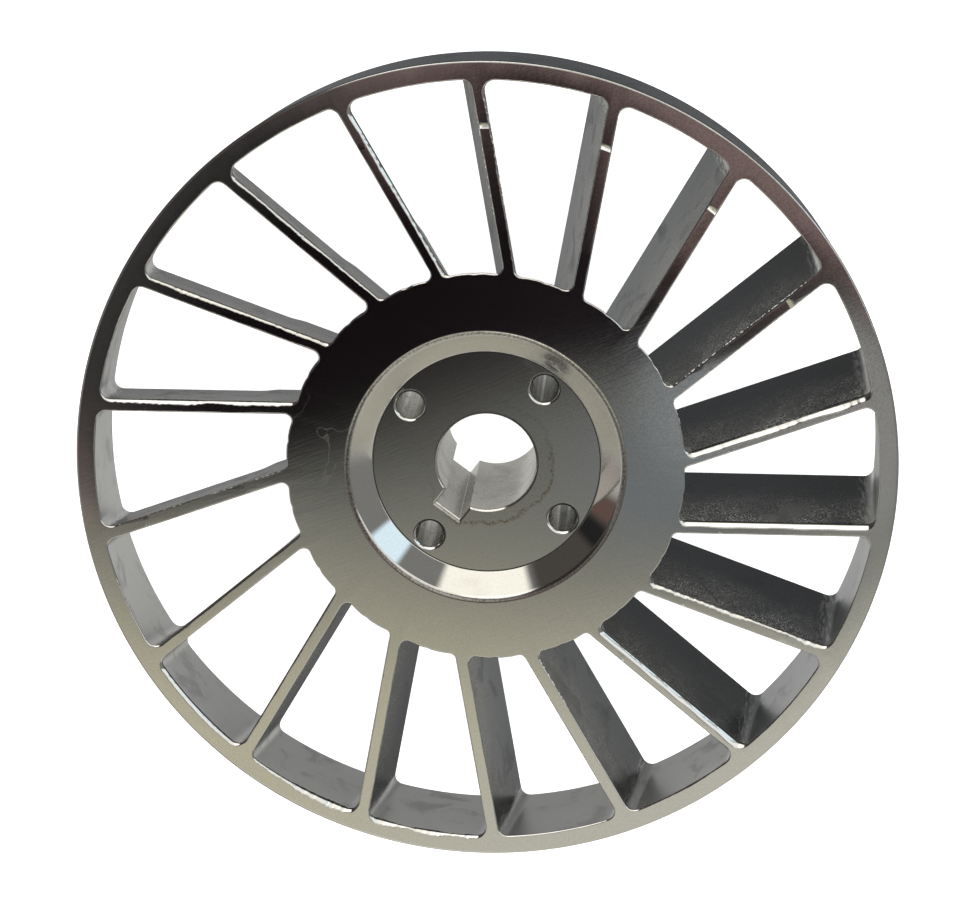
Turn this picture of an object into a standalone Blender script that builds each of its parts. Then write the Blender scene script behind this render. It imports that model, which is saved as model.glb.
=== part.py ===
"""Bladed pump impeller: a dished hub with a keyed bore, eighteen straight pitched blades and a thin rim.

The wheel lies with its axis on Z. The hub's back face rests at Z = 0 and the dished front faces up.
Metres, +Z up. Angles run anticlockwise from +X, seen from the front.
"""
import bpy
import bmesh
from math import cos, sin, radians, sqrt, atan2, pi, tau
from mathutils import Vector

MM = 0.001

# whole wheel
OUTER_RADIUS = 165 * MM
RIM_DEPTH = 48 * MM
HUB_LENGTH = 79 * MM
JOINT_GAP = 0.3 * MM
RIM_STEPS = 108
HUB_STEPS = 72

# rim: the outer wall draws in towards the back, the inner wall is straight
RIM_BACK_RADIUS = 160.4 * MM
RIM_INNER_RADIUS = 157.3 * MM
RIM_FILLET = 4.0 * MM
RIM_ROOT_RADIUS = 152.2 * MM

# blades: straight, set off to one side of the axis, and pitched from front to back
BLADE_COUNT = 18
FIRST_BLADE_ANGLE = radians(-0.3)
BLADE_OFFSET_FRONT = -23.1 * MM
BLADE_OFFSET_BACK = -15.6 * MM
BLADE_THICK_FRONT = 4.9 * MM
BLADE_THICK_BACK = 4.2 * MM

# hub: its wall between the blades narrows towards the back and runs down to a plain boss
HUB_RADIUS = 80.0 * MM
HUB_TAPER = 19.0 * MM
HUB_FILLET = 2.8 * MM
HUB_ROOT_RADIUS = 84.0 * MM
BOSS_RADIUS = 55.0 * MM
EDGE_CHAMFER = 1.0 * MM

# dished recess in the front of the hub
DISH_LIP_RADIUS = 57.0 * MM
DISH_WALL_RADIUS = 54.4 * MM
DISH_LIP_DROP = 1.3 * MM
DISH_FLOOR_RADIUS = 46.0 * MM
DISH_DEPTH = 9.0 * MM

# keyed bore and bolt holes
BORE_RADIUS = 20.0 * MM
BORE_CHAMFER = 0.6 * MM
KEY_WIDTH = 12.0 * MM
KEY_FLOOR_RADIUS = 25.7 * MM
KEY_ANGLE = radians(233.0)
BOLT_CIRCLE_RADIUS = 38.5 * MM
BOLT_HOLE_RADIUS = 5.5 * MM
BOLT_CHAMFER = 0.5 * MM
BOLT_COUNT = 4
BOLT_STEPS = 24

FRONT_Z = HUB_LENGTH
RIM_BACK_Z = HUB_LENGTH - RIM_DEPTH
FLOOR_Z = FRONT_Z - DISH_DEPTH
PITCH = tau / BLADE_COUNT
CUT_OVER = 0.06
CORNER_STEPS = 4
HUB_ARC_STEPS = 4
RIM_ARC_STEPS = 7

PLATED_METAL = (0.62, 0.61, 0.58, 1.0)


def clear_scene():
    for item in list(bpy.data.objects):
        bpy.data.objects.remove(item, do_unlink=True)


def metal(name, roughness):
    mat = bpy.data.materials.new(name)
    mat.use_nodes = True
    shader = mat.node_tree.nodes["Principled BSDF"]
    shader.inputs["Base Color"].default_value = PLATED_METAL
    shader.inputs["Metallic"].default_value = 1.0
    shader.inputs["Roughness"].default_value = roughness
    return mat


def add_object(name, bm, mat=None, smooth=False):
    mesh = bpy.data.meshes.new(name)
    bmesh.ops.recalc_face_normals(bm, faces=bm.faces)
    bm.to_mesh(mesh)
    bm.free()
    if smooth:
        mesh.shade_smooth()
        mesh.set_sharp_from_angle(angle=radians(30))
    if mat:
        mesh.materials.append(mat)
    obj = bpy.data.objects.new(name, mesh)
    bpy.context.scene.collection.objects.link(obj)
    return obj


def cut(target, cutter):
    cutter.hide_render = True
    cutter.display_type = "WIRE"
    mod = target.modifiers.new(cutter.name, "BOOLEAN")
    mod.operation = "DIFFERENCE"
    mod.solver = "EXACT"
    mod.object = cutter


def turned(profile, steps):
    """A closed (radius, height) outline turned once round Z."""
    bm = bmesh.new()
    verts = [bm.verts.new((r, 0, z)) for r, z in profile]
    edges = [bm.edges.new((verts[i - 1], verts[i])) for i in range(len(verts))]
    bmesh.ops.spin(bm, geom=verts + edges, cent=(0, 0, 0), axis=(0, 0, 1),
                   angle=tau, steps=steps, use_merge=True)
    return bm


def between(front, back, t):
    """Straight-line change from the front value at t = 0 to the back value at t = 1."""
    return front + (back - front) * t


def height_at(t):
    return FRONT_Z - RIM_DEPTH * t


def blade_side(t, side):
    """How far one face of a blade lies from the wheel's axis; side is +1 or -1."""
    middle = between(BLADE_OFFSET_FRONT, BLADE_OFFSET_BACK, t)
    return middle + side * between(BLADE_THICK_FRONT, BLADE_THICK_BACK, t) / 2


def turn_by(angle, along, across):
    return Vector((along * cos(angle) - across * sin(angle),
                   along * sin(angle) + across * cos(angle)))


def arc(centre, start, end, steps):
    """Points from start to end round a centre, the short way, both ends included."""
    first = atan2(start.y - centre.y, start.x - centre.x)
    sweep = atan2(end.y - centre.y, end.x - centre.x) - first
    sweep = (sweep + pi) % tau - pi
    radius = (start - centre).length
    return [centre + radius * Vector((cos(first + sweep * i / steps), sin(first + sweep * i / steps)))
            for i in range(steps + 1)]


def corner(angle, face, side, wall, fillet, inward):
    """Fillet between a blade face and a round wall: its points from the face to the wall."""
    reach = wall - fillet if inward else wall + fillet
    across = face + side * fillet
    along = sqrt(reach ** 2 - across ** 2)
    centre = turn_by(angle, along, across)
    on_face = turn_by(angle, along, face)
    on_wall = centre.normalized() * wall
    return arc(centre, on_face, on_wall, CORNER_STEPS)


def window_outline(index, t):
    """Outline of the window between two blades at depth t, as a loop of XY points."""
    near = FIRST_BLADE_ANGLE + PITCH * index
    far = near + PITCH
    hub_wall = HUB_RADIUS - HUB_TAPER * t
    near_face = blade_side(t, +1)
    far_face = blade_side(t, -1)
    near_hub = corner(near, near_face, +1, hub_wall, HUB_FILLET, False)
    near_rim = corner(near, near_face, +1, RIM_INNER_RADIUS, RIM_FILLET, True)
    far_rim = corner(far, far_face, -1, RIM_INNER_RADIUS, RIM_FILLET, True)
    far_hub = corner(far, far_face, -1, hub_wall, HUB_FILLET, False)
    axis = Vector((0, 0))
    rim_arc = arc(axis, near_rim[-1], far_rim[-1], RIM_ARC_STEPS)[1:-1]
    hub_arc = arc(axis, far_hub[-1], near_hub[-1], HUB_ARC_STEPS)[1:-1]
    return near_hub[::-1] + near_rim + rim_arc + far_rim[::-1] + far_hub + hub_arc


def lofted(low, high, low_z, high_z, bm):
    """Closed body between two outlines that have the same number of points."""
    bottom = [bm.verts.new((p.x, p.y, low_z)) for p in low]
    top = [bm.verts.new((p.x, p.y, high_z)) for p in high]
    for i in range(len(bottom)):
        bm.faces.new((bottom[i - 1], bottom[i], top[i], top[i - 1]))
    bm.faces.new(bottom[::-1])
    bm.faces.new(top)


def window_cutter():
    """All the windows as one cutter that runs past the front and the back of the wheel."""
    bm = bmesh.new()
    above, below = -CUT_OVER, 1 + CUT_OVER
    for index in range(BLADE_COUNT):
        lofted(window_outline(index, below), window_outline(index, above),
               height_at(below), height_at(above), bm)
    return add_object("cut_windows", bm)


def keyway_cutter():
    bm = bmesh.new()
    bmesh.ops.create_cube(bm, size=1.0)
    length = HUB_LENGTH * 1.2
    for v in bm.verts:
        along = KEY_FLOOR_RADIUS if v.co.x > 0 else BORE_RADIUS / 2
        spot = turn_by(KEY_ANGLE, along, v.co.y * KEY_WIDTH)
        v.co = Vector((spot.x, spot.y, HUB_LENGTH / 2 + v.co.z * length))
    return add_object("cut_keyway", bm)


def bolt_cutter():
    """Four straight holes from the dish floor to the back, each with a small chamfer at both ends."""
    over = 2 * MM
    levels = [(-over, BOLT_HOLE_RADIUS + BOLT_CHAMFER + over),
              (BOLT_CHAMFER, BOLT_HOLE_RADIUS),
              (FLOOR_Z - BOLT_CHAMFER, BOLT_HOLE_RADIUS),
              (FLOOR_Z + over, BOLT_HOLE_RADIUS + BOLT_CHAMFER + over)]
    bm = bmesh.new()
    for hole in range(BOLT_COUNT):
        angle = KEY_ANGLE + tau * hole / BOLT_COUNT
        centre = turn_by(angle, BOLT_CIRCLE_RADIUS, 0)
        rings = []
        for z, radius in levels:
            rings.append([bm.verts.new((centre.x + radius * cos(tau * i / BOLT_STEPS),
                                        centre.y + radius * sin(tau * i / BOLT_STEPS), z))
                          for i in range(BOLT_STEPS)])
        for low, high in zip(rings, rings[1:]):
            for i in range(BOLT_STEPS):
                bm.faces.new((low[i - 1], low[i], high[i], high[i - 1]))
        bm.faces.new(rings[0][::-1])
        bm.faces.new(rings[-1])
    return add_object("cut_bolt_holes", bm)


def make_hub(windows, keyway, bolt_holes):
    """The hub's front part: the dished disc and the narrowing wall that the blades stand on."""
    profile = [
        (BORE_RADIUS, RIM_BACK_Z),
        (HUB_ROOT_RADIUS - HUB_TAPER, RIM_BACK_Z),
        (HUB_ROOT_RADIUS, FRONT_Z),
        (DISH_LIP_RADIUS, FRONT_Z),
        (DISH_WALL_RADIUS, FRONT_Z - DISH_LIP_DROP),
        (DISH_FLOOR_RADIUS, FLOOR_Z),
        (BORE_RADIUS + BORE_CHAMFER, FLOOR_Z),
        (BORE_RADIUS, FLOOR_Z - BORE_CHAMFER),
    ]
    hub = add_object("hub", turned(profile, HUB_STEPS), metal("plated_hub", 0.12), smooth=True)
    cut(hub, windows)
    cut(hub, keyway)
    cut(hub, bolt_holes)


def make_hub_boss(keyway, bolt_holes):
    """The plain round boss that carries the hub's bore on behind the blades."""
    top = RIM_BACK_Z - JOINT_GAP
    profile = [
        (BORE_RADIUS, BORE_CHAMFER),
        (BORE_RADIUS + BORE_CHAMFER, 0),
        (BOSS_RADIUS - EDGE_CHAMFER, 0),
        (BOSS_RADIUS, EDGE_CHAMFER),
        (BOSS_RADIUS, top),
        (BORE_RADIUS, top),
    ]
    boss = add_object("hub_boss", turned(profile, HUB_STEPS), metal("plated_boss", 0.2), smooth=True)
    cut(boss, keyway)
    cut(boss, bolt_holes)


def make_rim(windows):
    profile = [
        (RIM_ROOT_RADIUS, RIM_BACK_Z),
        (RIM_BACK_RADIUS, RIM_BACK_Z),
        (OUTER_RADIUS, FRONT_Z),
        (RIM_ROOT_RADIUS, FRONT_Z),
    ]
    rim = add_object("rim", turned(profile, RIM_STEPS), metal("plated_rim", 0.15), smooth=True)
    cut(rim, windows)


def blade_corner(t, side, radius):
    across = blade_side(t, side)
    return sqrt(radius ** 2 - across ** 2), across


def make_blade(index, mat):
    """A straight blade from the root on the hub to the root on the rim."""
    angle = FIRST_BLADE_ANGLE + PITCH * index
    outlines = []
    for t in (1, 0):
        inner = HUB_ROOT_RADIUS - HUB_TAPER * t + JOINT_GAP
        outer = RIM_ROOT_RADIUS - JOINT_GAP
        ends = [(-1, inner), (-1, outer), (+1, outer), (+1, inner)]
        outlines.append([turn_by(angle, *blade_corner(t, side, radius)) for side, radius in ends])
    bm = bmesh.new()
    lofted(outlines[0], outlines[1], height_at(1), height_at(0), bm)
    add_object(f"blade_{index + 1:02d}", bm, mat)


def main():
    clear_scene()
    windows = window_cutter()
    keyway = keyway_cutter()
    bolt_holes = bolt_cutter()
    make_hub(windows, keyway, bolt_holes)
    make_hub_boss(keyway, bolt_holes)
    make_rim(windows)
    for index in range(BLADE_COUNT):
        make_blade(index, metal(f"plated_blade_{index + 1:02d}", 0.3))


main()
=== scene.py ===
# Pump impeller, plated and polished, lying face up in a plain light studio.
import bpy
from functools import partial
from math import acos, asin, atan2, cos, degrees, pi, radians, sin, sqrt, tau
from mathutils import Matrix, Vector
from mathutils.noise import noise


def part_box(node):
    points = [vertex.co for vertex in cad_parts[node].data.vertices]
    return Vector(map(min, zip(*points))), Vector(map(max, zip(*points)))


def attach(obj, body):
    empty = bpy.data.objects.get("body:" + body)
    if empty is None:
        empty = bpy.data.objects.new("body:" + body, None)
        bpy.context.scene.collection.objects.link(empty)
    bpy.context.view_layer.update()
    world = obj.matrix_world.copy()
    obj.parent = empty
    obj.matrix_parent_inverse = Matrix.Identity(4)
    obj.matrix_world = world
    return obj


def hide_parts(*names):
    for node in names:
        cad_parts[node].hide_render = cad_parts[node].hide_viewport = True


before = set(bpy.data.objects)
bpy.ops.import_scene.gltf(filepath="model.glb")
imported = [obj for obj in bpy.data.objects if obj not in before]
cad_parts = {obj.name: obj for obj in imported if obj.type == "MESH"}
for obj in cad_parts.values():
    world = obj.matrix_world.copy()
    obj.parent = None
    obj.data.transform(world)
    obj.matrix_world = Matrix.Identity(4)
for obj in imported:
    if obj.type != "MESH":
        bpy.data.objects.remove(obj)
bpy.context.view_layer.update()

mm = 0.001

rimLow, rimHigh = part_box("rim")
outerRadius = rimHigh[0]
frontZ = rimHigh[2]
rimBackZ = rimLow[2]
rimDepth = frontZ - rimBackZ
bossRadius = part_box("hub_boss")[1][0]
touching = 0.001 * mm  # what lies nearer than this counts as one place


# selection helpers, used before every step in edit mode
def deselectAll():
    if bpy.context.mode != "OBJECT":
        bpy.ops.object.mode_set(mode="OBJECT")
    bpy.ops.object.select_all(action="DESELECT")


def pick(obj):
    deselectAll()
    obj.select_set(True)
    bpy.context.view_layer.objects.active = obj


def editWhole(obj, kind="VERT"):
    pick(obj)
    bpy.ops.object.mode_set(mode="EDIT")
    bpy.ops.mesh.select_mode(type=kind)
    bpy.ops.mesh.select_all(action="SELECT")


def leaveEdit():
    bpy.ops.object.mode_set(mode="OBJECT")


# every solid starts as a flat outline with so many corners, and is extruded from there
def startSolid(name, corners, radius):
    deselectAll()
    bpy.ops.mesh.primitive_circle_add(vertices=corners, radius=radius, fill_type="NGON")
    solid = bpy.context.object
    solid.name = name
    editWhole(solid, "FACE")
    return solid


def faceOutwards(solid):
    editWhole(solid)
    bpy.ops.mesh.normals_make_consistent(inside=False)
    leaveEdit()


# the wheel before its windows are cut: one turned solid
blank = {
    "segments": 360,
    "filletSteps": 7,
    "rimBackRadius": 160.4 * mm,
    "bossEdge": 1.0 * mm,  # rounding at the back end of the boss
    "bossRoot": 3.0 * mm,  # fillet between boss and hub wall
    "rimBackEdge": 0.5 * mm,
    "rimFrontEdge": 0.8 * mm,
    "rampOuter": 140.6 * mm,  # short turned ramp across the upper blades, shallow hollow inside it
    "rampBend": 139.4 * mm,
    "rampInner": 137.95 * mm,
    "rampEnd": 0.08 * mm,
    "rampDrop": 0.26 * mm,
    "bendShare": 0.20,  # part of the drop that lies outside the bend
    "rampMiddle": radians(60),  # the blades where it is deepest, and how far it reaches round the wheel
    "rampReach": radians(38),
    "rampFall": 12,  # how suddenly it ends there
    "hollowInner": 97.0 * mm,
    "coneTop": 55.2 * mm,
    "coneFoot": 46.2 * mm,
    "coneTopFillet": 3.6 * mm,
    "coneFootFillet": 0.5 * mm,
    "dishDepth": 9.0 * mm,
    "dishLand": 0.6 * mm,  # strip of the dish's floor that belongs to the turned outline
    "edgeWander": 0.10 * mm,  # how far the polished outer edge strays
    "edgeRipple": 140,  # and how closely its waves follow each other
    "edgeSeed": 3.0,
    "edgeBand": 0.9 * mm,
    "smoothUpTo": radians(40),
}
dishFloorZ = frontZ - blank["dishDepth"]


# how far the front of the blades lies below the front plane at one spot of the wheel
def hollowAt(spot):
    b = blank
    radius = Vector((spot.x, spot.y)).length
    if radius >= b["rampOuter"] or radius <= b["hollowInner"]:
        return 0.0
    away = abs((atan2(spot.y, spot.x) - b["rampMiddle"] + pi) % tau - pi) / b["rampReach"]
    depth = b["rampDrop"] / (1 + away ** b["rampFall"])
    if radius > b["rampBend"]:
        return depth * b["bendShare"] * (b["rampOuter"] - radius) / (b["rampOuter"] - b["rampBend"])
    if radius > b["rampInner"]:
        share = (b["rampBend"] - radius) / (b["rampBend"] - b["rampInner"])
        return depth * (b["bendShare"] + (1 - b["bendShare"]) * share)
    return depth * (radius - b["hollowInner"]) / (b["rampInner"] - b["hollowInner"])


# a turned outline from its corners, each given as radius, height and fillet
def roundedProfile(corners, steps):
    points = []
    for i, (r, z, fillet) in enumerate(corners):
        here = Vector((r, z))
        if not fillet:
            points.append(here)
            continue
        before = (Vector(corners[i - 1][:2]) - here).normalized()
        after = (Vector(corners[i + 1][:2]) - here).normalized()
        half = acos(max(-1.0, min(1.0, before.dot(after)))) / 2
        reach = fillet * cos(half) / sin(half)
        centre = here + (before + after).normalized() * (fillet / sin(half))
        start = here + before * reach - centre
        end = here + after * reach - centre
        sweep = (atan2(end.y, end.x) - atan2(start.y, start.x) + pi) % tau - pi
        first = atan2(start.y, start.x)
        for k in range(steps + 1):
            turn = first + sweep * k / steps
            points.append(centre + fillet * Vector((cos(turn), sin(turn))))
    return points


def makeBlank():
    b = blank
    corners = [
        (bossRadius - 3 * b["bossEdge"], 0, 0),
        (bossRadius, 0, b["bossEdge"]),
        (bossRadius, rimBackZ, b["bossRoot"]),
        (b["rimBackRadius"], rimBackZ, b["rimBackEdge"]),
        (outerRadius, frontZ, b["rimFrontEdge"]),
        (b["rampOuter"], frontZ, 0),
        (b["rampOuter"] - b["rampEnd"], frontZ, 0),
        (b["rampBend"], frontZ, 0),
        (b["rampInner"] + b["rampEnd"], frontZ, 0),
        (b["rampInner"], frontZ, 0),
        (b["hollowInner"], frontZ, 0),
        (b["coneTop"], frontZ, b["coneTopFillet"]),
        (b["coneFoot"], dishFloorZ, b["coneFootFillet"]),
        (b["coneFoot"] - b["dishLand"], dishFloorZ, 0),
    ]
    points = roundedProfile(corners, b["filletSteps"])
    radius, height = points[0]
    wheel = startSolid("impellerWheel", b["segments"], radius)
    for r, z in points[1:]:
        bpy.ops.mesh.extrude_region_move(TRANSFORM_OT_translate={"value": (0, 0, z - height)})
        grow = r / radius
        bpy.ops.transform.resize(value=(grow, grow, 1), center_override=(0, 0, 0))
        radius, height = r, z
    faceOutwards(wheel)
    for v in wheel.data.vertices:  # the hand-polished outer edge is never quite even
        outside = Vector((v.co.x, v.co.y)).length > outerRadius - b["edgeBand"]
        if outside and frontZ - b["edgeBand"] < v.co.z < frontZ - 10 * touching:
            ripple = Vector((v.co.x * b["edgeRipple"], v.co.y * b["edgeRipple"], b["edgeSeed"]))
            v.co.z += min(0.0, noise(ripple) * b["edgeWander"])
        elif abs(v.co.z - frontZ) < touching:
            v.co.z -= hollowAt(v.co)
    return wheel


# every cutter stands out of the wheel by its reach, and starts to flare where it is clear of the surface
overcut = {
    "reach": 3 * mm,
    "clear": 0.1 * mm,
    "holeFlare": (0.12 * mm, 1.5 * mm),  # how much wider a hole's cutter is there
}


# a prism of stacked outlines, every point placed by its step round the outline and its level
def makeCutter(name, steps, levels, placeAt):
    cutter = startSolid(name, steps, 1)
    for _ in range(1, levels):
        bpy.ops.mesh.extrude_region_move(TRANSFORM_OT_translate={"value": (0, 0, 1)})
    leaveEdit()
    for v in cutter.data.vertices:
        step = round(atan2(v.co.y, v.co.x) / tau * steps) % steps
        v.co = placeAt(step, round(v.co.z))
    faceOutwards(cutter)
    return cutter


windows = {
    "count": 18,
    "firstAngle": radians(-0.3),
    "offsetFront": -23.1 * mm,  # how far each blade passes beside the axis
    "offsetBack": -15.6 * mm,
    "thickFront": 4.9 * mm,
    "thickBack": 4.2 * mm,
    "rimWall": 157.3 * mm,
    "rimFillet": 4.0 * mm,
    "hubWall": 80.0 * mm,
    "hubTaper": 19.0 * mm,
    "hubBand": 2 * mm,  # what lies this near to the wall belongs to the hub arc
    "hubFillet": 2.8 * mm,
    "rootSwell": 0.7 * mm,  # the blades thicken a little at the hub, towards the back
    "rootFrom": 97.0 * mm,
    "rootTo": 89.0 * mm,
    "hubRelief": 0.7 * mm,  # hand-dressed hollows at the ends of the hub arc
    "hubSwell": 0.25 * mm,
    "hubSeeds": ((7.3, 1.7), (5.1, 8.2)),
    "endShares": (0.45, 0.55),  # part of the relief at each end that is always there, and that varies
    "endReach": 0.2,  # lengths and places along the hub arc are shares of it
    "cusp": 0.3 * mm,
    "cuspPlace": 0.46,
    "cuspReach": 0.05,
    "dressBand": 5 * mm,  # how far the dressing spreads outwards, and how much of it is lost at the back
    "dressFade": 0.6,
    "bladeSteps": 96,
    "hubCornerSteps": 6,
    "rimCornerSteps": 7,
    "hubArcSteps": 22,
    "rimArcSteps": 48,
    "edgePlain": 0.70 * mm,  # polished rounding round the front of each window, along its surface
    "edgeBack": 0.6 * mm,
    "overFront": 0.4 * mm,
    "sink": 0.02 * mm,  # how far below the face the rounding starts
}
# edges that were dressed wider by hand: width along the surface in mm, and how ragged it is
leadingEdges = {0: (3.4, 0.0), 1: (3.9, 0.0), 2: (1.4, 0.4), 16: (3.8, 0.0), 17: (2.4, 0.9)}
trailingEdges = {5: (1.2, 0.4), 6: (2.2, 0.12), 7: (1.5, 0.3), 8: (1.7, 0.35),
                 9: (2.0, 0.4), 10: (0.5, 0.1), 11: (1.3, 0.1), 12: (0.95, 0.1)}
rimEdges = {11: (2.4, 0.25), 12: (2.2, 1.0), 13: (1.9, 1.0)}
# that rounding as facets from the front face to the wall: tilt of the facet, share of the whole
frontFacets = ((10, 0.05), (24, 0.08), (34, 0.22), (40, 0.24), (48, 0.10), (62, 0.17), (72, 0.14))
backTurns = [radians(a) for a in (0, 40, 78)]
wallShares = (0.5,)
# how uneven the roundings are: slow waves and quick nicks, each with its closeness, its seed and its share
unevenness = {
    "waves": (90, 3.1, 0.5),
    "nicks": (900, 1.7, 0.2),
    "dressedWaves": (0.15, 0.7),  # on a dressed edge: always, and the more ragged it is
    "dressedNicks": 0.9,  # in mm
    "falloff": 3,  # how soon a dressed edge ends where the outline turns away from it
}


def bladeSide(t, side):
    w = windows
    middle = w["offsetFront"] + (w["offsetBack"] - w["offsetFront"]) * t
    thick = w["thickFront"] + (w["thickBack"] - w["thickFront"]) * t
    return middle + side * thick / 2


def turned(angle, along, across):
    return Vector((along * cos(angle) - across * sin(angle), along * sin(angle) + across * cos(angle)))


def arcPoints(centre, start, end, steps):
    first = atan2(start.y - centre.y, start.x - centre.x)
    sweep = (atan2(end.y - centre.y, end.x - centre.x) - first + pi) % tau - pi
    radius = (start - centre).length
    return [centre + radius * Vector((cos(first + sweep * k / steps), sin(first + sweep * k / steps)))
            for k in range(steps + 1)]


def cornerPoints(angle, face, side, wall, fillet, inward, steps):
    reach = wall - fillet if inward else wall + fillet
    across = face + side * fillet
    centre = turned(angle, sqrt(reach ** 2 - across ** 2), across)
    onFace = turned(angle, centre.dot(turned(angle, 1, 0)), face)
    return arcPoints(centre, onFace, centre.normalized() * wall, steps)


# one window's outline at a share of the depth: hub end, two blades, rim end
def windowOutline(t):
    w = windows
    near, far = w["firstAngle"], w["firstAngle"] + tau / w["count"]
    hubWall = w["hubWall"] - w["hubTaper"] * t
    ends = ((hubWall, w["hubFillet"], False, w["hubCornerSteps"]),
            (w["rimWall"], w["rimFillet"], True, w["rimCornerSteps"]))
    nearHub, nearRim = [cornerPoints(near, bladeSide(t, 1), 1, *end) for end in ends]
    farHub, farRim = [cornerPoints(far, bladeSide(t, -1), -1, *end) for end in ends]
    n = w["bladeSteps"]
    nearRun = [nearHub[0].lerp(nearRim[0], k / n) for k in range(1, n)]
    farRun = [farRim[0].lerp(farHub[0], k / n) for k in range(1, n)]
    for p in farRun + farHub:
        share = min(1.0, max(0.0, (w["rootFrom"] - p.length) / (w["rootFrom"] - w["rootTo"])))
        p += turned(far, 0, -w["rootSwell"] * share * share * (3 - 2 * share) * max(0.0, t))
    axis = Vector((0, 0))
    rimArc = arcPoints(axis, nearRim[-1], farRim[-1], w["rimArcSteps"])[1:-1]
    hubArc = arcPoints(axis, farHub[-1], nearHub[-1], w["hubArcSteps"])[1:-1]
    return nearHub[::-1] + nearRun + nearRim + rimArc + farRim[::-1] + farRun + farHub + hubArc


def bell(away):
    return 2.7 ** (-away ** 2)


# the hub end of a window, with the hollows and the cusp that hand dressing left
def dressHub(points, seed, t):
    w = windows
    hubWall = w["hubWall"] - w["hubTaper"] * t
    always, varied = w["endShares"]
    lowEnd, highEnd = [w["hubRelief"] * (always + varied * noise(Vector((seed * closeness, row, 0))))
                       for closeness, row in w["hubSeeds"]]
    angles = [atan2(p.y, p.x) for p in points if p.length < hubWall + w["hubBand"]]
    low, high = min(angles), max(angles)
    dressed = []
    for p in points:
        near = max(0.0, 1 - (p.length - hubWall) / w["dressBand"])
        share = min(1.0, max(0.0, (atan2(p.y, p.x) - low) / (high - low)))
        dip = lowEnd * bell(share / w["endReach"]) + highEnd * bell((1 - share) / w["endReach"])
        cusp = w["cusp"] * bell((share - w["cuspPlace"]) / w["cuspReach"])
        swell = w["hubSwell"] * sin(pi * share)
        move = (swell - dip - cusp) * near * near * (1 - w["dressFade"] * max(0.0, min(1.0, t)))
        dressed.append(p + p.normalized() * move)
    return dressed


# how far across and down each facet of a rounding starts
def facetRuns(facets):
    across, down = [], []
    for k in range(len(facets) + 1):
        across.append(sum(cos(radians(a)) * share for a, share in facets[k:]))
        down.append(sum(sin(radians(a)) * share for a, share in facets[:k]))
    return across, down


def outwardOf(points, k):
    along = points[(k + 1) % len(points)] - points[k - 1]
    return Vector((along.y, -along.x)).normalized()


# width of the front rounding at one point: plain, or wider where that edge was dressed
def edgeWidth(index, spot, outward, seed):
    w, u = windows, unevenness
    sides = (
        (leadingEdges.get(index), turned(w["firstAngle"], 0, -1)),
        (trailingEdges.get((index + 1) % w["count"]), turned(w["firstAngle"] + tau / w["count"], 0, 1)),
        (rimEdges.get(index), spot.normalized()),
    )
    (waves, waveSeed, waveShare), (nicks, nickSeed, nickShare) = u["waves"], u["nicks"]
    wave = noise(Vector((spot.x * waves, spot.y * waves, seed * waveSeed)))
    nick = noise(Vector((spot.x * nicks, spot.y * nicks, seed * nickSeed)))
    width = w["edgePlain"] * (1 + waveShare * wave + nickShare * nick)
    always, whereRagged = u["dressedWaves"]
    for edge, facing in sides:
        share = max(0.0, outward.dot(facing)) ** u["falloff"]
        if edge and share > 0:
            wide, ragged = edge
            stray = 1 + (always + whereRagged * ragged) * wave
            deep = ragged * u["dressedNicks"] * mm * nick
            width += share * max(0.0, wide * mm * stray + deep - w["edgePlain"])
    return width


def makeWindowCutter(index):
    w = windows
    seed = index + 0.5
    turnAngle = tau / w["count"] * index
    across, down = facetRuns(frontFacets)
    shares = [-overcut["reach"] / rimDepth] + [0.0] * (1 + len(across)) + list(wallShares)
    shares += [1.0] * (len(backTurns) + 1) + [1 + overcut["reach"] / rimDepth]
    rings = {t: dressHub(windowOutline(t), seed, t) for t in set(shares)}
    steps = len(rings[0.0])
    lastFront = 1 + len(across)
    lastWall = lastFront + len(wallShares)
    lastBack = lastWall + len(backTurns)
    widths = [edgeWidth(index, p, outwardOf(rings[0.0], k), seed) for k, p in enumerate(rings[0.0])]

    def placeAt(step, level):
        front = widths[step]
        here = rings[0.0][step]
        surface = frontZ - hollowAt(turned(turnAngle, here.x, here.y))
        back = w["edgeBack"]
        if level <= 1:
            grow = front * across[0] + w["overFront"]
            z = frontZ + overcut["reach"] if level == 0 else surface + overcut["clear"]
        elif level <= lastFront:
            grow = front * across[level - 2]
            z = surface - w["sink"] - front * down[level - 2]
        elif level <= lastWall:
            grow = 0.0
            z = frontZ - rimDepth * shares[level]
        elif level <= lastBack:
            turn = backTurns[level - lastWall - 1]
            grow = back * (1 - cos(turn))
            z = rimBackZ + back * (1 - sin(turn))
        else:
            grow = back * (1 - cos(backTurns[-1])) + w["overFront"]
            z = rimBackZ - (overcut["clear"] if level == lastBack + 1 else overcut["reach"])
        ring = rings[shares[level]]
        p = ring[step] + outwardOf(ring, step) * grow
        return Vector((p.x, p.y, z))

    cutter = makeCutter(f"windowCutter{index + 1:02d}", steps, len(shares), placeAt)
    bpy.ops.transform.rotate(value=-turnAngle, orient_axis="Z", center_override=(0, 0, 0))
    bpy.ops.object.transform_apply(location=True, rotation=True, scale=True)
    return cutter


bore = {
    "radius": 20.0 * mm,
    "keyHalf": 6.0 * mm,
    "keyFloor": 25.7 * mm,
    "keyAngle": radians(233.0),
    "keyCorner": 0.5 * mm,
    "keySpread": 2.0,  # the broken edge is this much wider at the floor of the keyway
    "edge": 1.3 * mm,  # broken edges of bore and bolt holes, along the surface
    "arcSteps": 96,
    "keySteps": 8,
    "cornerSteps": 4,
    "boltCircle": 38.5 * mm,
    "boltRadius": 5.5 * mm,
    "boltEdge": 1.8 * mm,
    "boltSteps": 64,
    "boltCount": 4,
}


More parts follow.
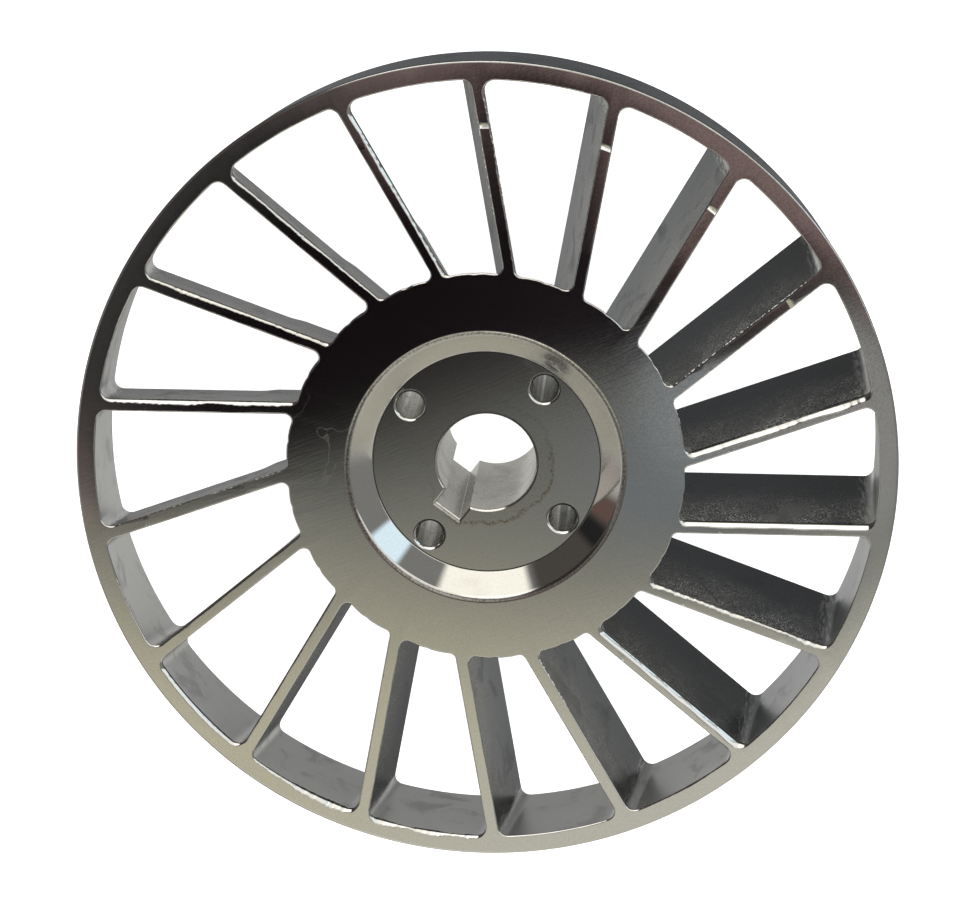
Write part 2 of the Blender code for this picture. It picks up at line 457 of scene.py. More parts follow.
# the bore with its keyway, as one outline
def boreOutline(grow):
    b = bore
    radius, half, floor = b["radius"] + grow, b["keyHalf"] + grow, b["keyFloor"] + grow * b["keySpread"]
    meet = asin(half / radius)
    corner = b["keyCorner"]
    points = [turned(meet + (tau - 2 * meet) * k / b["arcSteps"], radius, 0)
              for k in range(b["arcSteps"] + 1)]
    lowFoot, highFoot = Vector((floor - corner, -half)), Vector((floor - corner, half))
    lowSide = [points[-1].lerp(lowFoot, k / b["keySteps"]) for k in range(1, b["keySteps"])]
    highSide = [highFoot.lerp(points[0], k / b["keySteps"]) for k in range(1, b["keySteps"])]
    lowCorner = arcPoints(Vector((floor - corner, -half + corner)), lowFoot,
                          Vector((floor, -half + corner)), b["cornerSteps"])
    highCorner = arcPoints(Vector((floor - corner, half - corner)), Vector((floor, half - corner)),
                           highFoot, b["cornerSteps"])
    outline = points + lowSide + lowCorner + highCorner + highSide
    return [turned(b["keyAngle"], p.x, p.y) for p in outline]


def boltCentre(index):
    return turned(bore["keyAngle"] + tau * index / bore["boltCount"], bore["boltCircle"], 0)


def boltOutline(index, grow):
    steps = bore["boltSteps"]
    radius = bore["boltRadius"] + grow
    return [boltCentre(index) + turned(tau * k / steps, radius, 0) for k in range(steps)]


# facets of a broken hole edge, from the face into the hole: tilt, share of the whole
holeFacets = ((14, 0.08), (36, 0.34), (43, 0.26), (50, 0.16), (70, 0.16))


# a hole straight through the hub, with a broken edge at both ends
def makeHoleCutter(name, outlineAt, edge):
    across, down = facetRuns(holeFacets)
    edgeRuns = [(drop * edge, grow * edge) for drop, grow in zip(down, across)]
    clear, reach = [(-out, edgeRuns[0][1] + flare)
                    for out, flare in zip((overcut["clear"], overcut["reach"]), overcut["holeFlare"])]
    depths = [reach, clear] + edgeRuns
    levels = [(dishFloorZ - drop, grow) for drop, grow in depths] + depths[::-1]
    outlines = [outlineAt(grow) for _, grow in levels]

    def placeAt(step, level):
        p = outlines[level][step]
        return Vector((p.x, p.y, levels[level][0]))

    return makeCutter(name, len(outlines[0]), len(levels), placeAt)


# a socket takes a plain value, or a link from another socket
def feed(socket, value):
    if isinstance(value, bpy.types.NodeSocket):
        socket.id_data.links.new(value, socket)
    elif value is not None:
        socket.default_value = (*value, 1) if socket.type == "RGBA" else value


# a new node beside the sockets that feed it, with what goes into each of its own
def addNode(kind, values, **settings):
    tree = next(value.id_data for value in values.values() if isinstance(value, bpy.types.NodeSocket))
    node = tree.nodes.new(kind)
    for name, setting in settings.items():
        setattr(node, name, setting)
    for slot, value in values.items():
        feed(node.inputs[slot], value)
    return node.outputs


def addMath(operation, first, second=None, clamp=False):
    return addNode("ShaderNodeMath", {0: first, 1: second}, operation=operation, use_clamp=clamp)[0]


def addVector(operation, first, second=None):
    return addNode("ShaderNodeVectorMath", {0: first, 1: second}, operation=operation)


# several masks multiplied, and the largest of several
def times(first, *others):
    for other in others:
        first = addMath("MULTIPLY", first, other)
    return first


def largest(first, *others):
    for other in others:
        first = addMath("MAXIMUM", first, other)
    return first


# a value to which each mask adds its share
def addShares(value, *parts):
    for mask, share in parts:
        value = addMath("ADD", value, times(mask, share))
    return value


# how far a value lies from another
def addAway(value, middle):
    return addMath("ABSOLUTE", addMath("SUBTRACT", value, middle))


# a smooth step between two values, and the same falling from full to nothing
def addRange(value, low, high, toLow=0.0, toHigh=1.0):
    values = {"Value": value, "From Min": low, "From Max": high, "To Min": toLow, "To Max": toHigh}
    return addNode("ShaderNodeMapRange", values, interpolation_type="SMOOTHSTEP")["Result"]


def addFade(value, full, gone):
    return addRange(value, full, gone, 1.0, 0.0)


# a mask that runs from one share to another instead of from nothing to full
def addSpan(mask, low, high):
    return addRange(mask, 0.0, 1.0, low, high)


def addNoise(place, scale, detail, roughness=0.5, distortion=0.0):
    values = {"Vector": place, "Scale": scale, "Detail": detail, "Roughness": roughness}
    return addNode("ShaderNodeTexNoise", values | {"Distortion": distortion})["Fac"]


# patches of a noise: its scale, detail and roughness, and the two values it rises between
def addPatches(place, settings, toLow=0.0, toHigh=1.0):
    scale, detail, roughness, low, high = settings
    return addRange(addNoise(place, scale, detail, roughness), low, high, toLow, toHigh)


# how near a spot of the surface is to one place: full within the first reach, nothing beyond the second
def addNear(place, middle, full, gone):
    return addFade(addVector("DISTANCE", place, middle)["Value"], full, gone)


def addSplit(vector):
    return addNode("ShaderNodeSeparateXYZ", {0: vector})


def addMapping(place, turn=(0, 0, 0), scale=(1, 1, 1)):
    return addNode("ShaderNodeMapping", {"Vector": place, "Rotation": turn, "Scale": scale})["Vector"]


def mixColour(mask, under, over):
    return addNode("ShaderNodeMix", {0: mask, 6: under, 7: over}, data_type="RGBA")[2]


# coats laid over a tone, each with its mask and its colour
def addCoats(tone, *coats):
    for mask, colour in coats:
        tone = mixColour(mask, tone, colour)
    return tone


def addBump(shader, height, distance, under=None):
    values = {"Height": height, "Distance": distance, "Normal": under}
    normal = addNode("ShaderNodeBump", values)["Normal"]
    feed(shader.inputs["Normal"], normal)
    return normal


# node groups: each puts out a mask, a height or a colour, and the shaders stay in the materials.
# Their sockets carry numbers, apart from these
socketKinds = {"Place": "Vector", "Direction": "Vector", "Toward": "Vector",
               "Under": "Color", "Tone": "Color", "Color": "Color"}


def newGroup(name, entries, exits):
    tree = bpy.data.node_groups.new(name, "ShaderNodeTree")
    for label, side in [(label, "INPUT") for label in entries] + [(label, "OUTPUT") for label in exits]:
        kind = "NodeSocket" + socketKinds.get(label, "Float")
        tree.interface.new_socket(name=label, in_out=side, socket_type=kind)
    return tree, tree.nodes.new("NodeGroupInput").outputs, tree.nodes.new("NodeGroupOutput").inputs


# the noises of both patterns, as detail and roughness, and the shares in which they are added
grainPattern = {
    "long": (2.0, 0.45),
    "fineDetail": 2.0,
    "fineScale": 1.7,
    "shares": (0.75, 0.25),
}
stainPattern = {
    "big": (4.0, 0.6, 0.6),  # with some distortion
    "small": (3.0, 0.6),
    "smallScale": 7.0,
    "shares": (0.8, 0.2),
    "edge": 0.16,  # how softly a stain ends
}


# one long soft drag of the polishing wheel, and a finer grain in it
def makeGrainGroup():
    g = grainPattern
    tree, entry, leave = newGroup("polishGrain", ["Place", "Fineness", "Drag"], ["Height"])
    along, across, up = addSplit(entry["Place"])
    along = addMath("DIVIDE", along, entry["Drag"])
    dragged = addNode("ShaderNodeCombineXYZ", {0: along, 1: across, 2: up})[0]
    long = addNoise(dragged, entry["Fineness"], *g["long"])
    fine = addNoise(entry["Place"], times(entry["Fineness"], g["fineScale"]), g["fineDetail"])
    feed(leave["Height"], addShares(times(long, g["shares"][0]), (fine, g["shares"][1])))
    return tree


def makeStainGroup():
    g = stainPattern
    tree, entry, leave = newGroup("dullStains", ["Place", "Size", "Spread"], ["Mask"])
    big = addNoise(entry["Place"], entry["Size"], *g["big"])
    small = addNoise(entry["Place"], times(entry["Size"], g["smallScale"]), *g["small"])
    both = addShares(times(big, g["shares"][0]), (small, g["shares"][1]))
    high = addMath("ADD", entry["Spread"], g["edge"])
    feed(leave["Mask"], addRange(both, entry["Spread"], high))
    return tree


# distance from the axis, and a band of some width at one distance
def makeRingGroup():
    tree, entry, leave = newGroup("ringBand", ["Place", "Radius", "Width"], ["Mask", "Radial"])
    flat = addVector("MULTIPLY", entry["Place"], (1, 1, 0))["Vector"]
    radial = addVector("LENGTH", flat)["Value"]
    feed(leave["Mask"], addFade(addAway(radial, entry["Radius"]), 0.0, entry["Width"]))
    feed(leave["Radial"], radial)
    return tree


# one soft card of light, painted over what lies under it: full and gone are degrees from its middle
def makeCardGroup():
    tree, entry, leave = newGroup(
        "lightCard", ["Under", "Direction", "Toward", "Full", "Gone", "Tone"], ["Color"])
    facing = addVector("DOT_PRODUCT", entry["Direction"], entry["Toward"])["Value"]
    angle = times(addMath("ARCCOSINE", facing), degrees(1))
    mask = addFade(angle, entry["Full"], entry["Gone"])
    feed(leave["Color"], mixColour(mask, entry["Under"], entry["Tone"]))
    return tree


groups = {
    "grain": makeGrainGroup(),
    "stain": makeStainGroup(),
    "ring": makeRingGroup(),
    "card": makeCardGroup(),
}


def useGroup(kind, **values):
    return addNode("ShaderNodeGroup", values, node_tree=groups[kind])


def newMetal(name, colour):
    mat = bpy.data.materials.new(name)
    mat.use_nodes = True
    shader = mat.node_tree.nodes["Principled BSDF"]
    feed(shader.inputs["Metallic"], 1.0)
    feed(shader.inputs["Base Color"], colour)
    return mat, shader, mat.node_tree.nodes.new("ShaderNodeTexCoord").outputs


polish = {
    "colour": (0.80, 0.79, 0.77),
    "roughness": 0.045,
    "dishRoughness": 0.075,
    "dishEdge": 0.5 * mm,
    "frontFrom": (58.0 * mm, 60.0 * mm),  # where the flat front begins, outside the lip of the dish
    "grain": {"Fineness": 1100.0, "Drag": 9.0},
    "grainTurn": radians(-22),
    "grainHeight": 0.0000018,
    "wave": (60.0, 2.0),
    "waveHeight": 0.000003,
    "stain": {"Size": 24.0, "Spread": 0.60},
    "stainShare": 0.4,
    "stained": (0.60, 0.58, 0.54),
    "mottle": (0.07, 0.22),  # over most of the front, and where the rim was polished least
    "mottlePlace": (0.090, 0.125, 0.079),
    "mottleReach": (90 * mm, 150 * mm),
    "mottleGrain": (1300.0, 2.0, 0.6, 0.3, 0.7),
    "specks": (900.0, 3.0, 0.7, 0.42, 0.60),
    # how much rougher each mark is
    "stainRoughness": 0.06,
    "ringRoughness": 0.10,
    "waterRoughness": 0.05,
    "burrRoughness": 0.40,
    "lipRoughness": 0.22,
    "hazeRoughness": 0.30,
}
# dried ring round the bore: faint inside, darker and speckled along its wandering edge
driedRing = {
    "radius": 27.0 * mm,
    "colour": (0.27, 0.23, 0.15),
    "wander": 14.0 * mm,
    "wanderNoise": (60.0, 5.0, 0.6),
    "fade": 1.2 * mm,
    "edgeMiddle": 0.8 * mm,
    "edgeWidth": 1.5 * mm,
    "fill": (0.06, 0.24),  # between and on the specks, also for its edge
    "edge": (0.30, 1.0),
    "darkPlace": (0.012, -0.018, 0.070),  # the side that dried darkest
    "darkReach": (20 * mm, 36 * mm),
    "darkShares": (0.22, 1.0),
}
# rough brown line left at the lip of the dish, and a painted shade line in the crease at its foot
lip = {
    "radius": 55.7 * mm,
    "width": 1.6 * mm,
    "colour": (0.12, 0.10, 0.075),
    "specks": (0.55, 0.98),
    "wear": (18.0, 2.0, 0.5, 0.38, 0.56),
    "worn": (0.65, 1.0),
    "footRadius": 45.85 * mm,
    "footWidth": 0.42 * mm,
    "paintedShadeColour": (0.03, 0.03, 0.03),
    "footShare": 0.9,
}
# painted shade: a dark crescent inside the upper edge of each hole in the dish
crescent = {
    "lean": (-0.3 * mm, -0.9 * mm, 0.0),
    "outward": 0.4,  # where it lies on the broken edge of its hole
    "outer": (0.3 * mm, 0.7 * mm),
    "inner": (-0.1 * mm, 0.3 * mm),
    "share": 0.85,
}
# a wandering thin line that dried water left
waterLine = {
    "place": (-0.062, 0.012, 0.079),
    "reach": (13 * mm, 24 * mm),
    "noise": (26.0, 3.0, 0.55),
    "level": 0.50,
    "width": (0.001, 0.006),
}
# thin dull film over the upper part of the cone, and the brown smudge where it was wiped off
film = {
    "colour": (0.20, 0.183, 0.065),
    "shares": (0.55, 0.12),  # in general, and where it was wiped off
    "footFrom": (0.1 * mm, 0.8 * mm),
    "topFrom": 1.2 * mm,
    "upper": (-2 * mm, 11 * mm),
    "wipedPlace": (0.028, 0.043, 0.075),
    "wipedReach": (3 * mm, 9 * mm),
    "smudge": (0.25, 0.65),
}
# the dressed edges, by how far their surface is turned away from the front: the burr left on them, with
# white specks painted as its glints, and a painted shade line where the wide ones of the lower right
# blades end in the wall
dressed = {
    "turned": (0.80, 0.97),
    "steep": (0.62, 0.80),
    "burr": (950.0, 1.0, 0.5, 0.50, 0.57),
    "burrGlintColour": (0.95, 0.95, 0.93),
    "beads": (1100.0, 1.0),
    "beadHeight": 0.000012,
    "places": (((0.104, 0.055, 0.079), 44 * mm), ((0.078, 0.030, 0.079), 14 * mm),
               ((0.024, -0.088, 0.079), 18 * mm), ((0.004, 0.124, 0.079), 28 * mm)),
    "wholeShare": 0.6,  # the part of each reach within which the painted burr glints are full
    "shadeLineBearing": 98,
    "shadeLineFacing": (0.84, 0.88),
    "shadeLineSteep": (0.34, 0.46),
    "shadeLineShare": 0.9,
}


def addDriedRing(place, radial, specks):
    d = driedRing
    wander = addMath("SUBTRACT", addNoise(place, *d["wanderNoise"]), 0.5)
    reach = addShares(radial, (wander, d["wander"]))
    inside = addFade(reach, d["radius"] - d["fade"], d["radius"])
    edge = addFade(addAway(reach, d["radius"] - d["edgeMiddle"]), 0.0, d["edgeWidth"])
    where = addSpan(addNear(place, d["darkPlace"], *d["darkReach"]), *d["darkShares"])
    fill = times(inside, addSpan(specks, *d["fill"]))
    return times(largest(fill, times(edge, addSpan(specks, *d["edge"]))), where)


# painted shade inside the upper edge of the bore and of each bolt hole
def addShadeCrescents(place):
    c, b = crescent, bore
    holes = [(Vector((0, 0)), b["radius"] + c["outward"] * b["edge"])]
    holes += [(boltCentre(index), b["boltRadius"] + c["outward"] * b["boltEdge"])
              for index in range(b["boltCount"])]
    rings = []
    for centre, radius in holes:
        middle = (centre.x, centre.y, dishFloorZ)
        leaning = tuple(m + lean for m, lean in zip(middle, c["lean"]))
        outer = addNear(place, middle, *(radius + more for more in c["outer"]))
        inner = addNear(place, leaning, *(radius + more for more in c["inner"]))
        rings.append(addMath("SUBTRACT", outer, inner, clamp=True))
    return largest(*rings)


# the line lies where a slow noise crosses its middle, near one place
def addWaterLine(place):
    w = waterLine
    away = addAway(addNoise(place, *w["noise"]), w["level"])
    return times(addFade(away, *w["width"]), addNear(place, w["place"], *w["reach"]))


# the film, and how much of it was wiped off
def addFilm(place, radial):
    f, foot, top = film, blank["coneFoot"], blank["coneTop"]
    onCone = times(addRange(radial, *(foot + more for more in f["footFrom"])),
                   addFade(radial, top - f["topFrom"], top))
    upper = times(onCone, addRange(addSplit(place)["Y"], *f["upper"]))
    wiped = addNear(place, f["wipedPlace"], *f["wipedReach"])
    return times(upper, addSpan(wiped, *f["shares"])), times(onCone, wiped)


# painted highlight: white specks on the dressed edges near the listed places, as the glints of their burr
def addBurrGlints(place, up, onEdge):
    d = dressed
    near = [addNear(place, middle, gone * d["wholeShare"], gone) for middle, gone in d["places"]]
    steep = addFade(up, *d["steep"])
    return times(addPatches(place, d["burr"]), largest(*near), onEdge, steep)


# painted shade line on the steep edge facets that face one bearing
def addShadeLine(normal, up):
    d = dressed
    side = addVector("DOT_PRODUCT", normal, towards(d["shadeLineBearing"], 0))["Value"]
    steep = addRange(up, *d["shadeLineSteep"], d["shadeLineShare"], 0.0)
    return times(steep, addRange(side, *d["shadeLineFacing"]))


def addMottle(place):
    p = polish
    near = addNear(place, p["mottlePlace"], *p["mottleReach"])
    coarse = addSpan(near, *(1.0 - share for share in p["mottle"]))
    return addPatches(place, p["mottleGrain"], coarse)


def makePolishedPlate():
    p = polish
    mat, shader, spot = newMetal("polishedPlate", p["colour"])
    place, normal = spot["Object"], spot["Normal"]
    up = addSplit(normal)["Z"]
    lipMark = useGroup("ring", Place=place, Radius=lip["radius"], Width=lip["width"])
    footShade = useGroup("ring", Place=place, Radius=lip["footRadius"], Width=lip["footWidth"])
    radial = lipMark["Radial"]
    stain = useGroup("stain", Place=place, **p["stain"])["Mask"]
    specks = addPatches(place, p["specks"])
    ring = addDriedRing(place, radial, specks)
    lipStain = times(lipMark["Mask"], addSpan(specks, *lip["specks"]),
                     addPatches(place, lip["wear"], *lip["worn"]))
    haze, wiped = addFilm(place, radial)
    smudge = times(wiped, addSpan(specks, *film["smudge"]))
    inDish = addFade(radial, blank["coneFoot"], blank["coneFoot"] + p["dishEdge"])
    onFront = addRange(radial, *p["frontFrom"])
    onEdge = times(addFade(up, *dressed["turned"]), onFront)
    burrGlints = addBurrGlints(place, up, onEdge)
    tone = addCoats(
        p["colour"],
        (times(stain, p["stainShare"]), p["stained"]),
        (ring, driedRing["colour"]),
        (lipStain, lip["colour"]),
        # painted shade: dark line in the crease at the foot of the cone
        (times(footShade["Mask"], lip["footShare"]), lip["paintedShadeColour"]),
        # painted shade on the upper side of every hole's broken edge
        (times(addShadeCrescents(place), crescent["share"]), lip["paintedShadeColour"]),
        # painted shade line along the wide dressed edges of the lower right blades
        (times(addShadeLine(normal, up), onFront), lip["paintedShadeColour"]),
        (smudge, lip["colour"]),
    )
    tone = mixColour(addMottle(place), (0.0, 0.0, 0.0), tone)
    # painted highlight: white specks as the glints of the burr on the dressed edges
    tone = addCoats(tone, (haze, film["colour"]), (burrGlints, dressed["burrGlintColour"]))
    rough = addShares(
        p["roughness"],
        (stain, p["stainRoughness"]),
        (inDish, p["dishRoughness"] - p["roughness"]),
        (ring, p["ringRoughness"]),
        (addWaterLine(place), p["waterRoughness"]),
        (burrGlints, p["burrRoughness"]),
        (lipStain, p["lipRoughness"]),
        (haze, p["hazeRoughness"]),
    )
    feed(shader.inputs["Base Color"], tone)
    feed(shader.inputs["Metallic"], addMath("SUBTRACT", 1.0, largest(burrGlints, haze)))
    feed(shader.inputs["Roughness"], rough)
    wave = addBump(shader, addNoise(place, *p["wave"]), p["waveHeight"])
    dragged = addMapping(place, turn=(0, 0, p["grainTurn"]))
    grain = useGroup("grain", Place=dragged, **p["grain"])["Height"]
    fine = addBump(shader, grain, p["grainHeight"], wave)
    beads = times(addNoise(place, *dressed["beads"]), onEdge)
    addBump(shader, beads, dressed["beadHeight"], fine)
    return mat


satin = {
    "blade": (0.40, 0.40, 0.395),  # walls of the blades
    "back": (0.33, 0.345, 0.36),  # towards the back of the wheel
    "frontFrom": (rimBackZ + 10 * mm, frontZ - 5 * mm),
    "tipTone": (0.25, 0.255, 0.26),  # the blades are darker towards the rim
    "tipFrom": (105 * mm, 150 * mm),
    "tipShare": 0.6,
    "rim": (0.72, 0.72, 0.71),  # inner wall of the rim, brighter
    "rimFrom": (windows["rimWall"] - 4.0 * mm, windows["rimWall"] - 1.5 * mm),
    "rimDullness": 0.10,  # how much rougher the rim's inner wall is
    "cornerFrom": (windows["rimWall"] - 7.0 * mm, windows["rimWall"] - 4.0 * mm),
    "cornerTo": (windows["rimWall"] - 1.2 * mm, windows["rimWall"] - 0.4 * mm),
    "dimPlace": (0.137, -0.090, 0.055),  # part of the rim's inner wall that is darker
    "dimReach": (30 * mm, 75 * mm),
    "dimShare": 0.75,
    "bore": (0.62, 0.61, 0.56),
    "boreTo": (27 * mm, 30 * mm),
    "hubTo": (50 * mm, 55 * mm),
    # fine lines drawn down the wall, in the corners at the rim and in the bolt holes
    "streak": (0.86, 0.86, 0.84),
    "streakShare": 0.8,
    "streakStretch": (1, 1, 0.03),
    "streakNoise": (1000.0, 2.0, 0.6, 0.46, 0.62),
    # and broad dark bands down the bolt holes
    "band": (0.16, 0.16, 0.155),
    "bandStretch": (1, 1, 0.02),
    "bandNoise": (210.0, 1.0, 0.5, 0.50, 0.58),
    "dust": (0.52, 0.51, 0.45),
    "dustSpecks": (1700.0, 3.0, 0.7, 0.48, 0.64),
    "dustPatches": (55.0, 3.0, 0.6, 0.36, 0.60),
    "dustThin": 0.35,  # what of it lies between the patches
    "dustShare": (0.36, 0.85),  # over most of the wheel, and round the place where most of it lies
    "dustPlace": (0.115, 0.0, 0.079),
    "dustReach": (45 * mm, 95 * mm),
    "boreDust": 0.40,
    "glancing": (0.50, 0.50, 0.50),  # how much the blades throw back where they are seen edge on
    "stain": {"Size": 70.0, "Spread": 0.50},
    "dull": 0.86,
    "roughness": 0.27,
    "mottle": 0.08,
    "grain": {"Fineness": 1700.0, "Drag": 1.0},
    "grainHeight": 0.00002,
}


def addDust(place, nearFront, inBore):
    s = satin
    where = addSpan(addNear(place, s["dustPlace"], *s["dustReach"]), *s["dustShare"])
    specks = addPatches(place, s["dustSpecks"])
    dust = times(specks, addPatches(place, s["dustPatches"], s["dustThin"]), nearFront, where)
    return largest(dust, times(inBore, s["boreDust"]))


def makeSatinWall():
    s = satin
    mat, shader, spot = newMetal("satinWall", s["blade"])
    place = spot["Object"]
    radial = useGroup("ring", Place=place)["Radial"]
    nearFront = addRange(addSplit(place)["Z"], *s["frontFrom"])
    onRim = addRange(radial, *s["rimFrom"])
    inBore = addFade(radial, *s["boreTo"])
    inHub = addFade(radial, *s["hubTo"])
    inCorner = times(addRange(radial, *s["cornerFrom"]), addFade(radial, *s["cornerTo"]))
    streaky = addMath("SUBTRACT", largest(inHub, inCorner), inBore, clamp=True)
    streaks = addPatches(addMapping(place, scale=s["streakStretch"]), s["streakNoise"])
    bands = addPatches(addMapping(place, scale=s["bandStretch"]), s["bandNoise"])
    tone = addCoats(
        s["back"],
        (nearFront, s["blade"]),
        (addRange(radial, *s["tipFrom"], 0.0, s["tipShare"]), s["tipTone"]),
        (onRim, s["rim"]),
        (times(addNear(place, s["dimPlace"], *s["dimReach"]), s["dimShare"]), s["back"]),
        (inHub, s["bore"]),
        (times(streaks, streaky, s["streakShare"]), s["streak"]),
        (times(bands, addMath("SUBTRACT", inHub, inBore)), s["band"]),
    )
    dust = addDust(place, nearFront, inBore)
    stain = useGroup("stain", Place=place, **s["stain"])["Mask"]
    tone = mixColour(addSpan(stain, 1.0, s["dull"]), (0.0, 0.0, 0.0), tone)
    glancing = mixColour(largest(onRim, inHub), s["glancing"], (1.0, 1.0, 1.0))
    rough = addShares(s["roughness"], (stain, s["mottle"]), (onRim, s["rimDullness"]))
    feed(shader.inputs["Base Color"], mixColour(dust, tone, s["dust"]))
    feed(shader.inputs["Specular Tint"], glancing)
    feed(shader.inputs["Metallic"], addMath("SUBTRACT", 1.0, dust))
    feed(shader.inputs["Roughness"], rough)
    addBump(shader, useGroup("grain", Place=place, **s["grain"])["Height"], s["grainHeight"])
    return mat


outerWall = {
    "colour": (0.40, 0.415, 0.44),
    "worn": (0.50, 0.50, 0.50),
    "wornShare": 0.5,
    "glancing": (0.115, 0.125, 0.14),  # how little it throws back where it is seen edge on
    "roughness": 0.26,
    "mottle": 0.08,
    "stain": {"Size": 30.0, "Spread": 0.5},
    "lineStretch": (0.02, 0.02, 1),  # lines that the turning tool left
    "lineNoise": (1800.0, 3.0, 0.6),
    "lineHeight": 0.000008,
}


def makeOuterWall():
    o = outerWall
    mat, shader, spot = newMetal("turnedOuterWall", o["colour"])
    place = spot["Object"]
    stain = useGroup("stain", Place=place, **o["stain"])["Mask"]
    tone = mixColour(times(stain, o["wornShare"]), o["colour"], o["worn"])
    feed(shader.inputs["Base Color"], tone)
    feed(shader.inputs["Specular Tint"], o["glancing"])
    feed(shader.inputs["Roughness"], addShares(o["roughness"], (stain, o["mottle"])))
    lines = addNoise(addMapping(place, scale=o["lineStretch"]), *o["lineNoise"])
    addBump(shader, lines, o["lineHeight"])
    return mat


# the plate's finish lies in front, satin inside the cuts, and the turned one outside and behind
slots = {
    "margin": 1 * mm,
    "upright": 0.5,  # a face is a wall where its normal's height is less than this
    "bossBand": 3 * mm,
    "plateDepth": 3.2 * mm,  # how deep into the windows the polish reaches
}


def dressSlots(wheel, finishes):
    for mat in finishes:
        wheel.data.materials.append(mat)
    for face in wheel.data.polygons:
        radial, up = Vector((face.center.x, face.center.y)).length, face.normal.z
        outside = radial > blank["rimBackRadius"] - slots["margin"] and abs(up) < slots["upright"]
        behind = up < -slots["upright"]
        boss = face.center.z < rimBackZ + slots["margin"] and radial > bossRadius - slots["bossBand"]
        face.material_index = 2 if outside or behind or boss else 0


def dressCutter(cutter, finishes, floorZ):
    for mat in finishes[:2]:
        cutter.data.materials.append(mat)
    for face in cutter.data.polygons:
        face.material_index = 0 if face.center.z > floorZ else 1


# all cutters as one object, with the finishes that their cuts take
def makeAllCuts(finishes):
    b = bore
    made = [(makeWindowCutter(index), frontZ - slots["plateDepth"]) for index in range(windows["count"])]
    made.append((makeHoleCutter("boreCutter", boreOutline, b["edge"]), dishFloorZ - b["edge"]))
    for index in range(b["boltCount"]):
        outlineAt = partial(boltOutline, index)
        bolt = makeHoleCutter(f"boltCutter{index + 1}", outlineAt, b["boltEdge"])
        made.append((bolt, dishFloorZ - b["boltEdge"]))
    for cutter, floorZ in made:
        dressCutter(cutter, finishes, floorZ)
    print("window, bore and bolt cutters ready:", len(made))
    pick(made[0][0])
    for cutter, _ in made:
        cutter.select_set(True)
    bpy.ops.object.join()
    return bpy.context.object


def makeWheel():
    finishes = (makePolishedPlate(), makeSatinWall(), makeOuterWall())
    wheel = makeBlank()
    dressSlots(wheel, finishes)
    print("wheel blank turned")
    allCuts = makeAllCuts(finishes)
    pick(wheel)
    cut = wheel.modifiers.new("windows", "BOOLEAN")
    cut.operation = "DIFFERENCE"
    cut.solver = "EXACT"
    cut.material_mode = "TRANSFER"
    cut.object = allCuts
    bpy.ops.object.modifier_apply(modifier=cut.name)
    bpy.data.objects.remove(allCuts, do_unlink=True)
    editWhole(wheel)
    bpy.ops.mesh.remove_doubles(threshold=2 * touching)
    bpy.ops.mesh.dissolve_degenerate(threshold=2 * touching)
    leaveEdit()
    bpy.ops.object.shade_smooth_by_angle(angle=blank["smoothUpTo"])
    weigh = wheel.modifiers.new("weigh", "WEIGHTED_NORMAL")
    weigh.weight = 100  # large faces alone set the normals, so flat ones stay flat
    weigh.keep_sharp = True
    bpy.ops.object.modifier_apply(modifier=weigh.name)
    print("wheel cut:", len(wheel.data.polygons), "faces")
    return wheel


# camera at the photograph's viewing angle
view = {
    "place": (0.0863, 0.4350, 1.6037),
    "turn": (-0.2729, 0.0557, 0.0),
    "lens": 146.12,
}


def makeCamera():
    data = bpy.data.cameras.new("studioCamera")
    data.lens = view["lens"]
    data.sensor_width = 36
    data.sensor_fit = "HORIZONTAL"
    camera = bpy.data.objects.new("studioCamera", data)
    camera.location = view["place"]
    camera.rotation_euler = view["turn"]
    bpy.context.scene.collection.objects.link(camera)
    bpy.context.scene.camera = camera
    return camera


# the direction that the camera sees mirrored at a spot of the front face, given in wheel radii
def mirroredAt(x, y):
    spot = Vector((x * outerRadius, y * outerRadius, frontZ))
    ray = (spot - Vector(view["place"])).normalized()
    return Vector((ray.x, ray.y, -ray.z))


# a direction by its bearing and its height over the horizon
def towards(azimuth, elevation):
    a, e = radians(azimuth), radians(elevation)
    return Vector((cos(e) * cos(a), cos(e) * sin(a), sin(e)))


room = {
    "dim": (0.22, 0.22, 0.21),
    "paper": (0.95, 0.95, 0.93),  # what the floor and walls look like to the camera
    "wash": (1.1, 1.1, 1.1),  # light that the studio sheds on its floor
}
